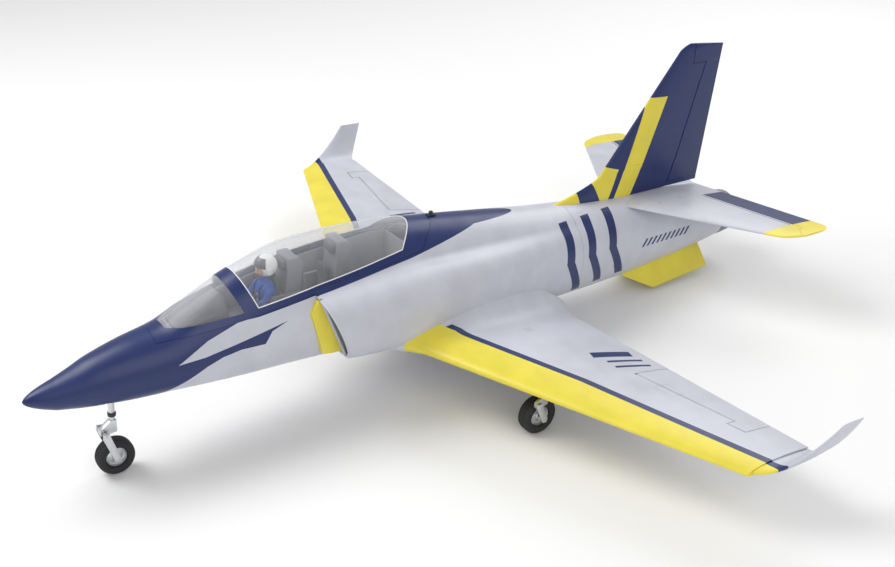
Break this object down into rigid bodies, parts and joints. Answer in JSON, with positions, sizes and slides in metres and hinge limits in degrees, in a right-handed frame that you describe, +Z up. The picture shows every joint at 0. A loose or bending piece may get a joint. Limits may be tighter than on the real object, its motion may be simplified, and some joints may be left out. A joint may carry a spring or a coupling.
{
  "type": "rc jet plane",
  "caption": "Radio-controlled foam jet trainer with side intakes, ducted fan, clear canopy over a pilot figure, winglets and retracting tricycle gear.",
  "frame": {"origin": "on the ground, under the middle of the bounding box, with the model standing on its three wheels", "axes": "+X to the left wing tip (port), +Y aft, +Z up"},
  "size_m": [1.4034, 1.431, 0.4735],
  "materials": {
    "foam_grey": "satin",
    "foam_navy": "satin",
    "foam_yellow": "satin",
    "exhaust_grey": "satin",
    "duct_dark": "satin",
    "black_plastic": "satin",
    "motor_can": "gloss",
    "carbon": "satin",
    "clear_glazing": "gloss",
    "cockpit_grey": "matte",
    "coaming_dark": "matte",
    "flight_suit": "matte",
    "helmet_white": "gloss",
    "bare_metal": "satin",
    "tyre_rubber": "matte",
    "battery_wrap": "satin"
  },
  "bodies": {
    "airframe": {"nose_cone": "foam_navy", "fuselage_front": "foam_grey", "fuselage_tail": "foam_grey", "exhaust_nozzle": "exhaust_grey", "intake_splitter_left": "foam_yellow", "intake_splitter_right": "foam_yellow", "intake_duct_left": "duct_dark", "intake_duct_right": "duct_dark", "fan_housing": "black_plastic", "fan_motor": "motor_can", "thrust_tube": "exhaust_grey", "wing_left": "foam_grey", "wing_right": "foam_grey", "winglet_left": "foam_grey", "winglet_right": "foam_grey", "wing_spar": "carbon", "stabiliser_left": "foam_grey", "stabiliser_right": "foam_grey", "tail_spar": "carbon", "fin": "foam_navy", "ventral_fin_left": "foam_yellow", "ventral_fin_right": "foam_yellow", "nose_gear_unit": "black_plastic", "main_gear_unit_left": "black_plastic", "main_gear_unit_right": "black_plastic", "battery": "battery_wrap", "battery_tray": "carbon", "speed_controller": "black_plastic", "receiver": "black_plastic"},
    "fan": {"fan_rotor": "black_plastic"},
    "flap_left": {"flap_left": "foam_grey"},
    "flap_right": {"flap_right": "foam_grey"},
    "aileron_left": {"aileron_left": "foam_grey"},
    "aileron_right": {"aileron_right": "foam_grey"},
    "elevator_left": {"elevator_left": "foam_navy"},
    "elevator_right": {"elevator_right": "foam_navy"},
    "rudder": {"rudder": "foam_navy"},
    "hatch": {"hatch_frame": "foam_navy", "windshield": "clear_glazing", "canopy_glass": "clear_glazing", "cockpit_tub": "cockpit_grey", "instrument_coaming": "coaming_dark", "pilot_seat": "cockpit_grey", "rear_seat": "cockpit_grey", "pilot_body": "flight_suit", "pilot_head": "helmet_white"},
    "latch": {"hatch_latch": "black_plastic"},
    "nose_trunnion": {"nose_gear_trunnion": "bare_metal"},
    "nose_leg": {"nose_gear_strut": "bare_metal"},
    "nose_arm": {"nose_gear_link": "bare_metal"},
    "nose_wheel": {"nose_wheel_hub": "bare_metal", "nose_tyre": "tyre_rubber"},
    "main_leg_left": {"main_gear_leg_left": "bare_metal"},
    "main_arm_left": {"main_gear_link_left": "bare_metal"},
    "main_wheel_left": {"main_wheel_hub_left": "bare_metal", "main_tyre_left": "tyre_rubber"},
    "main_leg_right": {"main_gear_leg_right": "bare_metal"},
    "main_arm_right": {"main_gear_link_right": "bare_metal"},
    "main_wheel_right": {"main_wheel_hub_right": "bare_metal", "main_tyre_right": "tyre_rubber"}
  },
  "joints": [
    {"name": "fan_spin", "type": "hinge", "parent": "airframe", "child": "fan", "pos_m": [0, 0.13379, 0.13334], "axis": [0, 0.9976, -0.0698], "continuous": true},
    {"name": "flap_left_hinge", "type": "hinge", "parent": "airframe", "child": "flap_left", "pos_m": [0.152, 0.11825, 0.07986], "axis": [-0.9928, -0.1142, -0.0365], "range_deg": [0, 45]},
    {"name": "flap_right_hinge", "type": "hinge", "parent": "airframe", "child": "flap_right", "pos_m": [-0.152, 0.11825, 0.07986], "axis": [-0.9928, 0.1142, 0.0365], "range_deg": [0, 45]},
    {"name": "aileron_left_hinge", "type": "hinge", "parent": "airframe", "child": "aileron_left", "pos_m": [0.369, 0.13231, 0.09496], "axis": [-0.9795, -0.2008, -0.0163], "range_deg": [-25, 25]},
    {"name": "aileron_right_hinge", "type": "hinge", "parent": "airframe", "child": "aileron_right", "pos_m": [-0.369, 0.13231, 0.09496], "axis": [-0.9795, 0.2008, 0.0163], "range_deg": [-25, 25]},
    {"name": "elevator_left_hinge", "type": "hinge", "parent": "airframe", "child": "elevator_left", "pos_m": [0.063, 0.58332, 0.18274], "axis": [-0.9728, -0.2316, 0.0064], "range_deg": [-20, 20]},
    {"name": "elevator_right_hinge", "type": "hinge", "parent": "airframe", "child": "elevator_right", "pos_m": [-0.063, 0.58332, 0.18274], "axis": [-0.9728, 0.2316, -0.0064], "range_deg": [-20, 20]},
    {"name": "rudder_hinge", "type": "hinge", "parent": "airframe", "child": "rudder", "pos_m": [0, 0.53996, 0.20418], "axis": [0, 0.3116, 0.9502], "range_deg": [-25, 25]},
    {"name": "hatch_lift", "type": "slide", "parent": "airframe", "child": "hatch", "axis": [0, 0.0698, 0.9976], "range_m": [0, 0.09]},
    {"name": "hatch_latch_slide", "type": "slide", "parent": "airframe", "child": "latch", "axis": [0, 0.9976, -0.0698], "range_m": [0, 0.005], "stiffness_N_per_m": 120, "springref_m": -0.002},
    {"name": "nose_retract", "type": "hinge", "parent": "airframe", "child": "nose_trunnion", "pos_m": [0, -0.58806, 0.16076], "axis": [1, 0, 0], "range_deg": [0, 90]},
    {"name": "nose_steer", "type": "hinge", "parent": "nose_trunnion", "child": "nose_leg", "pos_m": [0, -0.59203, 0.1039], "axis": [0, 0.0698, 0.9976], "range_deg": [-25, 25]},
    {"name": "nose_suspension", "type": "hinge", "parent": "nose_leg", "child": "nose_arm", "pos_m": [0, -0.60988, 0.07808], "axis": [1, 0, 0], "range_deg": [0, 12], "stiffness_Nm_per_rad": 0.8, "springref_deg": -22.92},
    {"name": "nose_wheel_spin", "type": "hinge", "parent": "nose_arm", "child": "nose_wheel", "pos_m": [0, -0.59719, 0.03008], "axis": [1, 0, 0], "continuous": true},
    {"name": "main_retract_left", "type": "hinge", "parent": "airframe", "child": "main_leg_left", "pos_m": [0.293, 0.00881, 0.09497], "axis": [0, 0.9976, -0.0698], "range_deg": [0, 90]},
    {"name": "main_suspension_left", "type": "hinge", "parent": "main_leg_left", "child": "main_arm_left", "pos_m": [0.285, -0.00747, 0.06283], "axis": [1, 0, 0], "range_deg": [0, 12], "stiffness_Nm_per_rad": 1.2, "springref_deg": -25.78},
    {"name": "main_wheel_spin_left", "type": "hinge", "parent": "main_arm_left", "child": "main_wheel_left", "pos_m": [0.285, 0.0044, 0.03192], "axis": [1, 0, 0], "continuous": true},
    {"name": "main_retract_right", "type": "hinge", "parent": "airframe", "child": "main_leg_right", "pos_m": [-0.293, 0.00881, 0.09497], "axis": [0, -0.9976, 0.0698], "range_deg": [0, 90]},
    {"name": "main_suspension_right", "type": "hinge", "parent": "main_leg_right", "child": "main_arm_right", "pos_m": [-0.285, -0.00747, 0.06283], "axis": [1, 0, 0], "range_deg": [0, 12], "stiffness_Nm_per_rad": 1.2, "springref_deg": -25.78},
    {"name": "main_wheel_spin_right", "type": "hinge", "parent": "main_arm_right", "child": "main_wheel_right", "pos_m": [-0.285, 0.0044, 0.03192], "axis": [1, 0, 0], "continuous": true}
  ],
  "couplings": [
    {"joint": "flap_right_hinge", "follows": "flap_left_hinge", "ratio": 1},
    {"joint": "aileron_right_hinge", "follows": "aileron_left_hinge", "ratio": -1},
    {"joint": "elevator_right_hinge", "follows": "elevator_left_hinge", "ratio": 1},
    {"joint": "nose_steer", "follows": "rudder_hinge", "ratio": 1},
    {"joint": "main_retract_left", "follows": "nose_retract", "ratio": 1},
    {"joint": "main_retract_right", "follows": "nose_retract", "ratio": 1}
  ]
}
